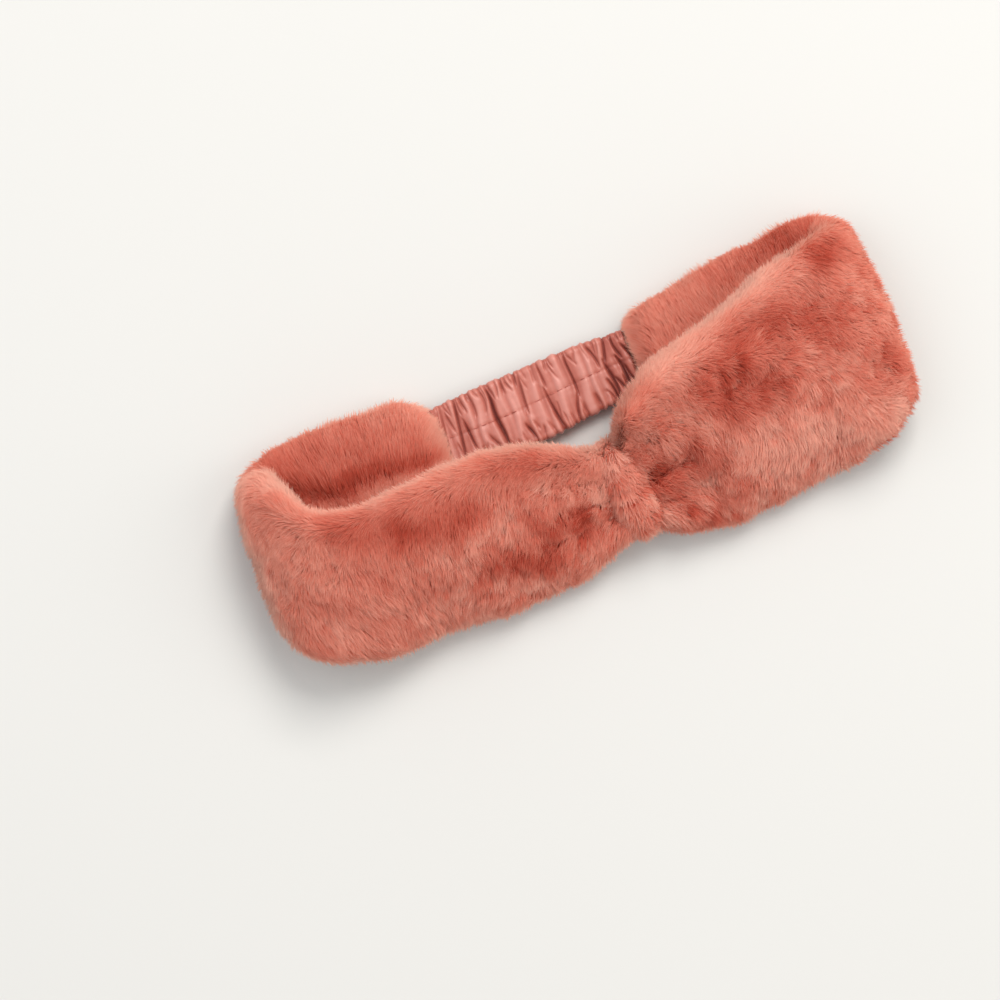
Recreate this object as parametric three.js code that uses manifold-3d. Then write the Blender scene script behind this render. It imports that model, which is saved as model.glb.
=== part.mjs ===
// A faux fur headwrap, lying flat on the layer that goes round the back of the head.
// A wide tube of deep pile is pinched at the front by a narrow wrap of the same fur,
// and its two ends are sewn onto a gathered elastic casing that closes the loop.
//
// Millimetres, +Z up. +X is the long side and +Y points to the elastic.
// The front layer, with the pinch, lies on the back one, raised on the left and nearly shut on the right.

import * as THREE from "three";
import { mergeVertices } from "three/addons/utils/BufferGeometryUtils.js";
import Module from "manifold-3d";

const wasm = await Module();
wasm.setup();

// The loop of fur, section by section, from the left end of the elastic round to the right end.
// "top" and "low" are the middles of the two rolled edges of the band.
// "bow" is how far the middle of a section stands out from the line between them.
// "thick" is the band's thickness there, with its pile.
const BAND_SECTIONS = [
  { at: "left joint", top: [-46, 32.3, 7], low: [-46, 12, 7], bow: 0, thick: 13 },
  { at: "back left taper", top: [-60, 38.2, 7], low: [-62, -2, 7], bow: 0, thick: 14 },
  { at: "back left", top: [-82, 40, 7], low: [-84, -14, 7], bow: 0, thick: 14 },
  { at: "back left full", top: [-104, 39.6, 7], low: [-104, -16, 7], bow: 0, thick: 14 },
  { at: "left fold start", top: [-115.5, 37.5, 10], low: [-118, -18, 8.5], bow: 1, thick: 15 },
  { at: "left fold", top: [-116.8, 30.5, 22], low: [-120.4, -19, 18], bow: 2, thick: 16 },
  { at: "left fold end", top: [-110.5, 22, 34], low: [-114, -29, 26], bow: 2, thick: 16 },
  { at: "left corner", top: [-98, 7.5, 42], low: [-98, -34.6, 21], bow: 3, thick: 16 },
  { at: "front left", top: [-70, 4.5, 44], low: [-70, -36.4, 10], bow: 4, thick: 16 },
  { at: "front left inner", top: [-42, 5, 39], low: [-42, -38, 8], bow: 4, thick: 17 },
  { at: "left gather", top: [-14, -0.4, 29], low: [-14, -35, 9], bow: 3, thick: 18 },
  { at: "pinch left", top: [5, -10, 17], low: [4, -31, 13], bow: 0, thick: 16 },
  { at: "pinch", top: [13, -12, 14], low: [13, -27.4, 14], bow: 0, thick: 13 },
  { at: "pinch right", top: [18.8, -1.8, 19], low: [21, -32, 13], bow: 0, thick: 16 },
  { at: "right gather", top: [35, 9.2, 27], low: [37, -38.6, 9], bow: 3, thick: 18 },
  { at: "front right", top: [62, 17.5, 29.5], low: [62, -38.6, 8], bow: 10, thick: 17 },
  { at: "front right full", top: [88, 26.5, 31], low: [88, -36.6, 9], bow: 11, thick: 16 },
  { at: "right fold start", top: [110, 31, 30], low: [110.2, -34, 18], bow: 4, thick: 15 },
  { at: "right fold", top: [121.2, 36, 18], low: [120.6, -24.5, 18], bow: 1, thick: 15 },
  { at: "right fold end", top: [113, 42.5, 8], low: [112, -16, 7.5], bow: 0, thick: 14 },
  { at: "back right full", top: [92, 40.8, 7], low: [92, -14, 7], bow: 0, thick: 14 },
  { at: "back right", top: [63, 38.4, 7], low: [64, -4, 7], bow: 0, thick: 14 },
  { at: "right joint", top: [39, 35.8, 7], low: [38, 13, 7], bow: 0, thick: 13 },
];

// Creases and gathers pressed into the pile, each along one straight stretch seen from above.
const FOLDS = [
  { face: "outer", from: [3, -15], to: [-9, -8], depth: 4, wide: 5 },
  { face: "outer", from: [-9, -8], to: [-58, 1], depth: 2.6, wide: 4.5 },
  { face: "outer", from: [-58, 1], to: [-99, 4], depth: 2.4, wide: 4 },
  { face: "outer", from: [6, -22], to: [-14, -20], depth: 3, wide: 4 },
  { face: "outer", from: [4, -28], to: [-24, -29], depth: 3.5, wide: 4 },
  { face: "outer", from: [21, -21], to: [37, -19], depth: 3.5, wide: 4 },
  { face: "outer", from: [21, -29], to: [42, -31], depth: 3, wide: 4 },
  { face: "outer", from: [60, -1], to: [74, -2], depth: 2.5, wide: 6 },
  { face: "outer", from: [66, 15], to: [99, 15], depth: 2.2, wide: 7 },
  { face: "outer", from: [102, -3], to: [117, -15], depth: 1.8, wide: 5 },
  { face: "inner", from: [-108, 26], to: [-92, 19], depth: 3, wide: 5 },
  { face: "inner", from: [-92, 19], to: [-56, 16], depth: 2, wide: 4 },
  { face: "inner", from: [84, 36], to: [104, 38], depth: 2, wide: 5 },
];

const PINCH_X = 13; // the middle of the wrap
const FLOOR_Z = 0.8; // the pile below this is pressed flat by what the band lies on

const BAND_STEPS = 82; // sections along the loop, two to each column of locks
const FACE_STEPS = 17; // steps across each face of a section
const EDGE_STEPS = 7; // steps round each rolled edge
const LOCK_STEPS = 4; // steps from the root of a lock to its tip
const LOCK_RISE = 2.2; // how far a lock's tip stands out
const LOCK_SPREAD = 0.35; // how much one lock differs from the next
const LOCK_FREE = 11; // no locks this near the middle of the wrap
const LOCK_FADE = 10; // and they reach full height this much further out

const WRAP_WIDE = 14; // along the band
const WRAP_THICK = 5.2;
const WRAP_STRIDE = 2; // one step of the wrap to so many of the band's outline
const WRAP_LOCK_RISE = 1.2;

const CASING_ENDS = [-44.5, 37.5];
const CASING_Y = 22;
const CASING_Z = 6.4;
const CASING_THICK = 4.6;
const CASING_SECTIONS = [
  { x: -55, topY: 35.5, lowY: 11 },
  { x: -44, topY: 37.4, lowY: 10 },
  { x: -10, topY: 38.2, lowY: 8.3 },
  { x: 15, topY: 38.1, lowY: 10.3 },
  { x: 38, topY: 36.4, lowY: 11.5 },
  { x: 50, topY: 34.5, lowY: 12 },
];
const PLEATS = 20; // gathers between the two ends of the fur
const PLEAT_RISE = 1.1;
const PLEAT_LEAN = -0.25; // how far a pleat runs sideways for each millimetre across
const PLEAT_STEPS = 3;
const PLEAT_DRIFT = 1.3; // pleats bunch up and spread by this much
const PLEAT_BUNCH = 27; // from one bunch of pleats to the next
const TONGUE = 7; // how far the casing goes into the fur at each end
const STITCH_SINK = 0.6; // the row of stitches down the middle of the casing

const CLEAR = 0.35; // gap between pieces that are sewn together

const fabric = (color, roughness) => new THREE.MeshStandardMaterial({ color, roughness, metalness: 0 });

// --- Small helpers ----------------------------------------------------------------------------

// The same number between 0 and 1 for the same two whole numbers.
function scatter(i, j) {
  const wave = Math.sin(i * 12.9898 + j * 78.233) * 43758.5453;
  return wave - Math.floor(wave);
}

function smoothStep(x) {
  const t = THREE.MathUtils.clamp(x, 0, 1);
  return t * t * (3 - 2 * t);
}

// A closed skin over rings of points, one flat cap at each end.
function skin(rings) {
  const around = rings[0].length;
  const points = rings.flat();
  const faces = [];
  for (let i = 0; i + 1 < rings.length; i++) {
    for (let j = 0; j < around; j++) {
      const a = i * around + j;
      const b = i * around + ((j + 1) % around);
      faces.push(a, b, b + around, a, b + around, a + around);
    }
  }
  for (const [ring, flip] of [[0, true], [rings.length - 1, false]]) {
    const middle = new THREE.Vector3();
    rings[ring].forEach((p) => middle.addScaledVector(p, 1 / around));
    points.push(middle);
    for (let j = 0; j < around; j++) {
      const a = ring * around + j;
      const b = ring * around + ((j + 1) % around);
      faces.push(...(flip ? [b, a, points.length - 1] : [a, b, points.length - 1]));
    }
  }
  return geometryOf(points, faces);
}

// A closed skin over rings of points that run round in a loop.
function ringSkin(rings) {
  const around = rings[0].length;
  const faces = [];
  for (let i = 0; i < rings.length; i++) {
    const next = ((i + 1) % rings.length) * around;
    for (let j = 0; j < around; j++) {
      const k = (j + 1) % around;
      faces.push(i * around + k, i * around + j, next + k, next + k, i * around + j, next + j);
    }
  }
  return geometryOf(rings.flat(), faces);
}

function geometryOf(points, faces) {
  const geometry = new THREE.BufferGeometry().setFromPoints(points);
  geometry.setIndex(faces);
  return geometry;
}

function solidOf(geometry) {
  const bare = new THREE.BufferGeometry();
  bare.setAttribute("position", geometry.getAttribute("position"));
  bare.setIndex(geometry.getIndex());
  const merged = mergeVertices(bare, 1e-4);
  return new wasm.Manifold(
    new wasm.Mesh({
      numProp: 3,
      vertProperties: merged.getAttribute("position").array,
      triVerts: new Uint32Array(merged.getIndex().array),
    }),
  );
}

function geometryFrom(solid) {
  const mesh = solid.getMesh();
  const geometry = new THREE.BufferGeometry();
  geometry.setAttribute("position", new THREE.BufferAttribute(mesh.vertProperties, 3));
  geometry.setIndex(new THREE.BufferAttribute(mesh.triVerts, 1));
  return geometry;
}

// Everything below the surface that the headwrap lies on.
function floorSolid() {
  const depth = 60;
  const block = new THREE.BoxGeometry(600, 400, depth);
  block.translate(0, 0, FLOOR_Z - depth / 2);
  return solidOf(block);
}

// --- The fur band -----------------------------------------------------------------------------

const vectors = (key) => BAND_SECTIONS.map((row) => new THREE.Vector3(...row[key]));
const topEdge = new THREE.CatmullRomCurve3(vectors("top"), false, "centripetal");
const lowEdge = new THREE.CatmullRomCurve3(vectors("low"), false, "centripetal");
const bowAndThick = new THREE.CatmullRomCurve3(
  BAND_SECTIONS.map((row) => new THREE.Vector3(row.bow, row.thick, 0)),
  false,
  "catmullrom",
);

// How far along the loop the pinch is, from 0 to 1.
const PINCH_PLACE = BAND_SECTIONS.findIndex((row) => row.at === "pinch") / (BAND_SECTIONS.length - 1);

const middleAt = (u) => topEdge.getPoint(u).add(lowEdge.getPoint(u)).multiplyScalar(0.5);

// Places along the loop, from 0 to 1, that are the same distance apart on its middle line.
function evenPlaces(steps) {
  const fine = 600;
  const lengths = [0];
  let last = middleAt(0);
  for (let i = 1; i <= fine; i++) {
    const here = middleAt(i / fine);
    lengths.push(lengths[i - 1] + here.distanceTo(last));
    last = here;
  }
  const places = [];
  let i = 0;
  for (let step = 0; step <= steps; step++) {
    const wanted = (lengths[fine] * step) / steps;
    while (i < fine - 1 && lengths[i + 1] < wanted) i++;
    places.push((i + (wanted - lengths[i]) / (lengths[i + 1] - lengths[i])) / fine);
  }
  return places;
}

// The flat frame of one section: its two edges, the way out of the loop, its bow and its radius.
function bandFrame(u) {
  const ahead = 0.004;
  const along = middleAt(Math.min(1, u + ahead)).sub(middleAt(Math.max(0, u - ahead)));
  const top = topEdge.getPoint(u);
  const low = lowEdge.getPoint(u);
  const width = top.distanceTo(low);
  const across = top.clone().sub(low).divideScalar(width);
  const outward = along.cross(across).normalize();
  const { x: bow, y: thick } = bowAndThick.getPoint(u);
  return { top, low, width, across, outward, bow, radius: thick / 2 };
}

// One section's outline: down the outer face, round the low edge, up the inner face and round the
// top edge, which is the way that the pile is brushed.
function bandOutline(frame) {
  const outline = [];
  const faceNormal = (a) => {
    const slope = (4 * frame.bow * (1 - 2 * a)) / frame.width;
    return frame.outward.clone().addScaledVector(frame.across, -slope).normalize();
  };
  const lineAt = (a) =>
    frame.low.clone().lerp(frame.top, a).addScaledVector(frame.outward, 4 * frame.bow * a * (1 - a));
  const face = (name, from, to, side) => {
    for (let j = 0; j < FACE_STEPS; j++) {
      const a = from + ((to - from) * j) / FACE_STEPS;
      const normal = faceNormal(a).multiplyScalar(side);
      outline.push({ face: name, base: lineAt(a), normal });
    }
  };
  const edge = (a, side, away) => {
    const start = faceNormal(a).multiplyScalar(side);
    const past = frame.across.clone().multiplyScalar(away);
    past.addScaledVector(start, -past.dot(start)).normalize();
    for (let j = 0; j < EDGE_STEPS; j++) {
      const turn = (Math.PI * j) / EDGE_STEPS;
      const normal = start.clone().multiplyScalar(Math.cos(turn));
      normal.addScaledVector(past, Math.sin(turn));
      outline.push({ face: "edge", base: lineAt(a), normal });
    }
  };
  face("outer", 1, 0, 1);
  edge(0, 1, -1);
  face("inner", 0, 1, -1);
  edge(1, -1, 1);
  return outline;
}

// How far a lock of pile stands out at step j round section i: each column of locks is a ridge
// between two grooves, and each lock rises from its root to its tip.
function lockRise(i, j) {
  const column = Math.floor(i / 2);
  if (i % 2 === 0) return -0.35 * LOCK_RISE;
  const step = j + 2 * (column % 2) + Math.floor(2 * scatter(column, 3));
  const lock = Math.floor(step / LOCK_STEPS);
  const rise = (step % LOCK_STEPS) / (LOCK_STEPS - 1);
  const size = 1 + LOCK_SPREAD * (2 * scatter(column, lock % 12) - 1);
  return LOCK_RISE * size * (0.1 + 0.9 * rise);
}

// How deep the creases press in at a point of one face.
function foldDepth(point, face) {
  let depth = 0;
  for (const fold of FOLDS) {
    if (fold.face !== face) continue;
    const from = new THREE.Vector3(...fold.from, 0);
    const to = new THREE.Vector3(...fold.to, 0);
    const seen = new THREE.Vector3(point.x, point.y, 0);
    const near = new THREE.Line3(from, to).closestPointToPoint(seen, true, new THREE.Vector3());
    depth = Math.max(depth, fold.depth * Math.exp(-((near.distanceTo(seen) / fold.wide) ** 2)));
  }
  return depth;
}

// The whole band. "grow" makes a plain copy without locks that is bigger all over.
function bandSolid(grow) {
  const rings = evenPlaces(BAND_STEPS).map((u, i) => {
    const frame = bandFrame(u);
    const fromWrap = Math.abs((frame.top.x + frame.low.x) / 2 - PINCH_X);
    const isFront = frame.outward.z > 0;
    const locks = isFront ? smoothStep((fromWrap - LOCK_FREE) / LOCK_FADE) : 1;
    return bandOutline(frame).map(({ face, base, normal }, j) => {
      const rise = grow > 0 ? grow : locks * lockRise(i, j);
      const point = base.clone().addScaledVector(normal, frame.radius + rise);
      const sunk = normal.z > 0 ? foldDepth(point, face) * normal.z : 0;
      const isRightLayer = face === (isFront ? "outer" : "inner");
      return isRightLayer ? point.addScaledVector(normal, -sunk) : point;
    });
  });
  return solidOf(skin(rings));
}

// --- The wrap round the pinch -------------------------------------------------------------------

// Each ring is one cut through the wrap, and the rings go once round the pinched band.
function wrapSolid() {
  const pinch = bandFrame(PINCH_PLACE);
  const outline = bandOutline(pinch).filter((_, j) => j % WRAP_STRIDE === 0);
  const rings = outline.map(({ base, normal }, i) => wrapRing(base, normal, pinch.radius, i));
  return solidOf(ringSkin(rings));
}

function wrapRing(base, normal, radius, i) {
  const profile = [
    { x: -0.5, out: 0.2 },
    { x: -0.48, out: 0.7 },
    { x: -0.32, out: 1 },
    { x: -0.11, out: 1.06 },
    { x: 0.11, out: 1.06 },
    { x: 0.32, out: 1 },
    { x: 0.48, out: 0.7 },
    { x: 0.5, out: 0.2 },
    { x: 0.4, out: -0.3 },
    { x: -0.4, out: -0.3 },
  ];
  return profile.map(({ x, out }, j) => {
    const rise = ((i + 2 * j) % LOCK_STEPS) / (LOCK_STEPS - 1);
    const lock = out >= 1 ? WRAP_LOCK_RISE * (rise - 0.5) : 0;
    const point = base.clone().addScaledVector(normal, radius + WRAP_THICK * out + lock);
    point.x += WRAP_WIDE * x;
    return point;
  });
}

// --- The elastic casing ---------------------------------------------------------------------------

const casingTop = new THREE.CatmullRomCurve3(
  CASING_SECTIONS.map(({ x, topY }) => new THREE.Vector3(x, topY, 0)),
);
const casingLow = new THREE.CatmullRomCurve3(
  CASING_SECTIONS.map(({ x, lowY }) => new THREE.Vector3(x, lowY, 0)),
);

// The place on an edge curve at one x.
function edgeAt(curve, x) {
  let [low, high] = [0, 1];
  for (let i = 0; i < 24; i++) {
    const u = (low + high) / 2;
    if (curve.getPoint(u).x < x) low = u;
    else high = u;
  }
  return curve.getPoint(low).y;
}

// The gathered casing. "grow" makes a plain copy without pleats that is bigger all over.
function casingSolid(grow) {
  const [left, right] = CASING_ENDS;
  const pitch = (right - left) / PLEATS;
  const start = left - TONGUE;
  const steps = Math.round((right - left + 2 * TONGUE) / (pitch / PLEAT_STEPS));
  const rings = [];
  for (let i = 0; i <= steps; i++) {
    const x = start + ((right - left + 2 * TONGUE) * i) / steps;
    rings.push(casingRing(x, pitch, grow));
  }
  if (grow > 0) {
    rings[0].forEach((p) => (p.x -= grow));
    rings[rings.length - 1].forEach((p) => (p.x += grow));
  }
  return solidOf(skin(rings));
}

function casingRing(x, pitch, grow) {
  const topY = edgeAt(casingTop, x);
  const lowY = edgeAt(casingLow, x);
  const [left, right] = CASING_ENDS;
  const loose = 0.3 + 0.7 * smoothStep(Math.min(x - left, right - x) / 3);
  const radius = CASING_THICK / 2;
  const profile = [];
  const across = [1, 0.75, 0.5, 0.25, 0];
  across.forEach((a) => profile.push({ a, side: 1 }));
  profile.push({ a: 0, side: 0 });
  across.toReversed().forEach((a) => profile.push({ a, side: -1 }));
  profile.push({ a: 1, side: 0 });
  return profile.map(({ a, side }) => {
    const y = lowY + radius + (topY - lowY - 2 * radius) * a;
    const drift = PLEAT_DRIFT * Math.sin((2 * Math.PI * x) / PLEAT_BUNCH);
    const pleat = Math.cos((2 * Math.PI * (x + drift - PLEAT_LEAN * (y - CASING_Y))) / pitch);
    const stitch = a === 0.5 ? STITCH_SINK : 0;
    const rise = grow > 0 ? grow + PLEAT_RISE * 0.3 : loose * (PLEAT_RISE * pleat - stitch);
    const edge = a === 1 ? 1 : a === 0 ? -1 : 0;
    const reach = side === 0 ? radius + 0.7 * rise : 0.2 * radius;
    const height = side * (radius * (edge ? 0.75 : 1) + rise);
    return new THREE.Vector3(x, y + edge * reach, CASING_Z + height);
  });
}

// --- The headwrap -----------------------------------------------------------------------------------

const floor = floorSolid();
const casing = casingSolid(0);
const band = bandSolid(0).subtract(casingSolid(CLEAR)).subtract(floor);
const wrap = wrapSolid().subtract(bandSolid(CLEAR)).subtract(floor);

const headwrap = new THREE.Group();

function addPiece(name, solid, material) {
  const mesh = new THREE.Mesh(geometryFrom(solid), material);
  mesh.name = name;
  headwrap.add(mesh);
}

addPiece("fur_band", band, fabric(0xd0705c, 0.95));
addPiece("centre_wrap", wrap, fabric(0xcb6b57, 0.95));
addPiece("elastic_casing", casing, fabric(0xd2857a, 0.45));

// The origin is under the middle of the headwrap, on the surface that it lies on.
const box = new THREE.Box3().setFromObject(headwrap);
const middle = box.getCenter(new THREE.Vector3());
headwrap.position.set(-middle.x, -middle.y, -box.min.z);

export default headwrap;
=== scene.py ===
"""A faux fur headwrap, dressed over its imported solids: a tube of deep pile, pinched at the front by a
narrow wrap of the same fur, and closed at the back by a gathered elastic casing."""

import math

import bpy
import numpy as np
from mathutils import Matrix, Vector
from mathutils.kdtree import KDTree


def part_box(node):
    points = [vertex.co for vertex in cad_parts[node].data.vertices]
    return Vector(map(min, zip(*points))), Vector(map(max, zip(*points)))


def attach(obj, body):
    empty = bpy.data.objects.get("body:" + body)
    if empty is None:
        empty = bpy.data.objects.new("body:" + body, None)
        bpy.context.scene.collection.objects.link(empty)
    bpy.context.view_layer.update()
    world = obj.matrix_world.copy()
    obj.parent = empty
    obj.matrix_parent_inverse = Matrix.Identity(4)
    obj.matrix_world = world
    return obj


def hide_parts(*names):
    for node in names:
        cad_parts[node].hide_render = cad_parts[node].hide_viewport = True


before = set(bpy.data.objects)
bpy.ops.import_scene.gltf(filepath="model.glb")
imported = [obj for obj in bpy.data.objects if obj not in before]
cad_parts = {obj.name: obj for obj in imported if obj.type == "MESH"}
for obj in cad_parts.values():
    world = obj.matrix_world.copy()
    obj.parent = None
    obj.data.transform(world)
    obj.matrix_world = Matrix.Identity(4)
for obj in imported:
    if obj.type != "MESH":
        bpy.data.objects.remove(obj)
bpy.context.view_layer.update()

# --- The band's ground ----------------------------------------------------------------------------
# The real band is a tube of warp-knitted faux fur, with the knitted ground hidden deep in the pile.
# The ground is one closed skin, a few millimetres inside the tips of the pile, and carries the
# matted root of the fur. Its two ends are drawn in where they are sewn onto the elastic.

MM = 0.001

# The loop, section by section, from the left end of the elastic round to the right end: the middles
# of its two rolled edges, how far it bows out between them, how thick it is with its pile, and how
# many degrees the pile leans along the loop from straight down the face.
LOOP = [
    ((-46, 32.3, 7), (-46, 12, 7), 0, 13, -6),
    ((-60, 38.2, 7), (-62, -2, 7), 0, 14, -15),
    ((-82, 40, 7), (-84, -14, 7), 0, 14, 0),
    ((-104, 39.6, 7), (-104, -16, 7), 0, 14, 5),
    ((-115.5, 37.5, 10), (-118, -18, 8.5), 1, 15, 15),
    ((-116.8, 30.5, 22), (-120.4, -19, 18), 2, 16, 30),
    ((-110.5, 22, 34), (-114, -29, 26), 2, 16, 38),
    ((-98, 7.5, 42), (-98, -34.6, 21), 3, 16, 22),
    ((-70, 4.5, 44), (-70, -36.4, 10), 4, 16, -14),
    ((-42, 5, 39), (-42, -38, 8), 4, 17, -26),
    ((-14, -0.4, 29), (-14, -35, 9), 3, 18, -45),
    ((5, -10, 17), (4, -31, 13), 0, 16, -62),
    ((13, -12, 14), (13, -27.4, 14), 0, 13, 0),
    ((18.8, -1.8, 19), (21, -32, 13), 0, 16, 50),
    ((35, 9.2, 27), (37, -38.6, 9), 3, 18, 12),
    ((62, 17.5, 29.5), (62, -38.6, 8), 10, 17, -20),
    ((88, 26.5, 31), (88, -36.6, 9), 11, 16, -14),
    ((110, 31, 30), (110.2, -34, 18), 4, 15, 28),
    ((121.2, 36, 18), (120.6, -24.5, 18), 1, 15, 48),
    ((113, 42.5, 8), (112, -16, 7.5), 0, 14, 15),
    ((92, 40.8, 7), (92, -14, 7), 0, 14, 0),
    ((63, 38.4, 7), (64, -4, 7), 0, 14, 10),
    ((39, 35.8, 7), (38, 13, 7), 0, 13, 8),
]
PINCH_ROW = 12

# Creases in the band, seen from above: face, from, to, depth and width, in millimetres.
CREASES = [
    ("outer", (3, -15), (-9, -8), 1.5, 6),
    ("outer", (-9, -8), (-58, 1), 1.7, 6),
    ("outer", (-58, 1), (-99, 4), 1.6, 5),
    ("outer", (6, -22), (-14, -20), 3, 4),
    ("outer", (4, -28), (-24, -29), 3.5, 4),
    ("outer", (21, -21), (37, -19), 3.5, 4),
    ("outer", (21, -29), (42, -31), 3, 4),
    ("outer", (60, -1), (74, -2), 2.5, 6),
    ("outer", (66, 15), (99, 15), 1.6, 7),
    ("outer", (102, -3), (117, -15), 1.8, 5),
    ("inner", (-108, 26), (-92, 19), 3, 5),
    ("inner", (-92, 19), (-56, 16), 2, 4),
    ("inner", (84, 36), (104, 38), 2, 5),
]

# The numbers above are laid out with the middle of the casing's box at CASING_MIDDLE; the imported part
# is centred on its own box.
CASING_MIDDLE = np.array([-3.5, 23.333, 6.4])
casing_low, casing_high = (np.array(p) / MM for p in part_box("elastic_casing"))
PLACE = (casing_low + casing_high) / 2 - CASING_MIDDLE

GROUND_DEPTH = 3.2  # from the tips of the pile in to the ground
GROUND_START = 2.8  # how far in from the left end it starts
END_ROUND = 5  # how far from each end the band starts to round off
LOWEST = 0.4  # the ground lies this high above the table
LOOP_STEPS, FACE_STEPS, ROLL_STEPS = 240, 26, 8


def spline(points, places, even=False):
    """Points on the smooth curve through the given ones, at places from 0 to 1 along it. It allows for
    how far apart they are, unless it is told to take them as even."""
    p = np.array(points, float)
    p = np.vstack([2 * p[0] - p[1], p, 2 * p[-1] - p[-2]])
    at = np.clip(places, 0, 1) * (len(points) - 1)
    k = np.minimum(at.astype(int), len(points) - 2)
    w = (at - k)[:, None]
    a, b, c, d = p[k], p[k + 1], p[k + 2], p[k + 3]
    if even:
        start, end = (c - a) / 2, (d - b) / 2
    else:
        pairs = ((a, b), (b, c), (c, d))
        ab, bc, cd = (np.maximum(((y - x) ** 2).sum(1), 1e-9)[:, None] ** 0.25 for x, y in pairs)
        start = bc * ((b - a) / ab - (c - a) / (ab + bc) + (c - b) / bc)
        end = bc * ((c - b) / bc - (d - b) / (bc + cd) + (d - c) / cd)
    return b + w * (start + w * (3 * (c - b) - 2 * start - end + w * (2 * (b - c) + start + end)))


def unit(v):
    return v / np.maximum(np.linalg.norm(v, axis=-1, keepdims=True), 1e-9)


def smooth(x):
    t = np.clip(x, 0, 1)
    return t * t * (3 - 2 * t)


def ripple(points, wide, seed, waves=10):
    """A smooth random height from about -1 to 1 at each point, with bumps about so wide."""
    rng = np.random.default_rng(seed)
    ways = unit(rng.normal(size=(waves, 3))) * (2 * math.pi / (wide * rng.uniform(1.3, 2.8, (waves, 1))))
    turns = np.tensordot(points, ways, axes=([-1], [1])) + rng.uniform(0, 2 * math.pi, waves)
    return np.sin(turns).sum(-1) / math.sqrt(waves / 1.6)


def course(places):
    """The two edges of the band, its bow, thickness and lean at places from 0 to 1 along the loop."""
    top, low = (spline([section[k] for section in LOOP], places) for k in (0, 1))
    bow, thick, lean = spline([section[2:] for section in LOOP], places, even=True).T
    return top, low, bow, thick, lean


def middle_line(places):
    """The line half way between the band's two edges."""
    top, low = course(places)[:2]
    return (top + low) / 2


def outline(places):
    """For each section, points round its outline: down the outer face, round the low edge, up the
    inner face and over the top edge. Gives each one's place in the middle layer and its way out,
    then each section's half thickness, the way its outer face looks, and its way up the face."""
    top, low, bow, thick, _ = course(places)
    step = 0.004
    ahead = middle_line(np.clip(places + step, 0, 1)) - middle_line(np.clip(places - step, 0, 1))
    width = np.linalg.norm(top - low, axis=1, keepdims=True)
    across = (top - low) / width
    outward = unit(np.cross(ahead, across))

    def on_line(a):
        return low + (top - low) * a + outward * (4 * bow * a * (1 - a))[:, None]

    def facing(a):
        return unit(outward - across * (4 * bow * (1 - 2 * a) / width[:, 0])[:, None])

    middle, way = [], []
    for first, last, side, turning in ((1, 0, 1, -1), (0, 1, -1, 1)):
        for j in range(FACE_STEPS):
            a = first + (last - first) * j / FACE_STEPS
            middle.append(on_line(a))
            way.append(facing(a) * side)
        start = facing(last) * side
        past = across * turning
        past = unit(past - start * (past * start).sum(1, keepdims=True))
        for j in range(ROLL_STEPS):
            turn = math.pi * j / ROLL_STEPS
            middle.append(on_line(last))
            way.append(start * math.cos(turn) + past * math.sin(turn))
    return np.stack(middle, 1), np.stack(way, 1), thick / 2, outward, across


def near_line(points, start, end, wide):
    """How near each point is, seen from above, to the line from start to end: 1 on it, fading away."""
    start, run = np.array(start, float), np.array(end, float) - start
    seen = points[..., :2] - start
    along = np.clip((seen @ run) / (run @ run), 0, 1)
    return np.exp(-((np.linalg.norm(seen - along[..., None] * run, axis=-1) / wide) ** 2))


def facing_out(grid):
    """The way out of a grid of points, from its neighbours along and around."""
    along = np.gradient(grid, axis=0)
    around = np.roll(grid, -1, 1) - np.roll(grid, 1, 1)
    return unit(np.cross(around, along))


# Sections at even steps along the loop, in millimetres from its left end, where the ground starts a
# little way in, under the pile's edge.
fine = np.linspace(0, 1, 1200)
walked = np.cumsum(np.linalg.norm(np.diff(middle_line(fine), axis=0), axis=1))
walked = np.concatenate([[0], walked])
stops = np.linspace(GROUND_START, walked[-1], LOOP_STEPS + 1)
places = np.interp(stops, walked, fine)
row = places * (len(LOOP) - 1)
to_end = np.minimum(stops - stops[0], stops[-1] - stops)

# The tips of the pile, with the thickness drawn in at both ends.
middle, way, radius, outward, across = outline(places)
is_front = outward[:, 2] > 0
drawn_in = np.sqrt(1 - (1 - np.clip(to_end / END_ROUND, 0, 1)) ** 2)[:, None]
full = radius[:, None] * (0.45 + 0.55 * drawn_in)
tips = middle + way * full[..., None]
bend = np.exp(-(((row - PINCH_ROW - 1) / 0.8) ** 2))[:, None, None]
for _ in range(4):  # thick fur rounds off the sharp turn beside the pinch
    tips = tips + 0.8 * bend * ((np.roll(tips, 1, 0) + np.roll(tips, -1, 0)) / 2 - tips)

# Which places show from above, and how squarely: the front layer's outer face, and the back layer's
# inner one.
faces = np.arange(2 * (FACE_STEPS + ROLL_STEPS))
lies_up = np.maximum(way[..., 2], 0)
shows = {
    "outer": np.outer(is_front, (faces < FACE_STEPS + 2) | (faces >= 2 * FACE_STEPS)) * lies_up,
    "inner": np.outer(~is_front, faces >= FACE_STEPS + ROLL_STEPS) * lies_up,
}

smooth_tips = tips  # before the creases are pressed in
pressed = np.zeros(tips.shape[:2])
for face, start, end, deep, wide in CREASES:
    pressed = np.maximum(pressed, deep * near_line(tips, start, end, wide) * shows[face])
tips = tips - way * pressed[..., None]
tips = tips + way * (0.45 * ripple(tips, 14, 3) + 0.3 * ripple(tips, 6, 4))[..., None]

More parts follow.
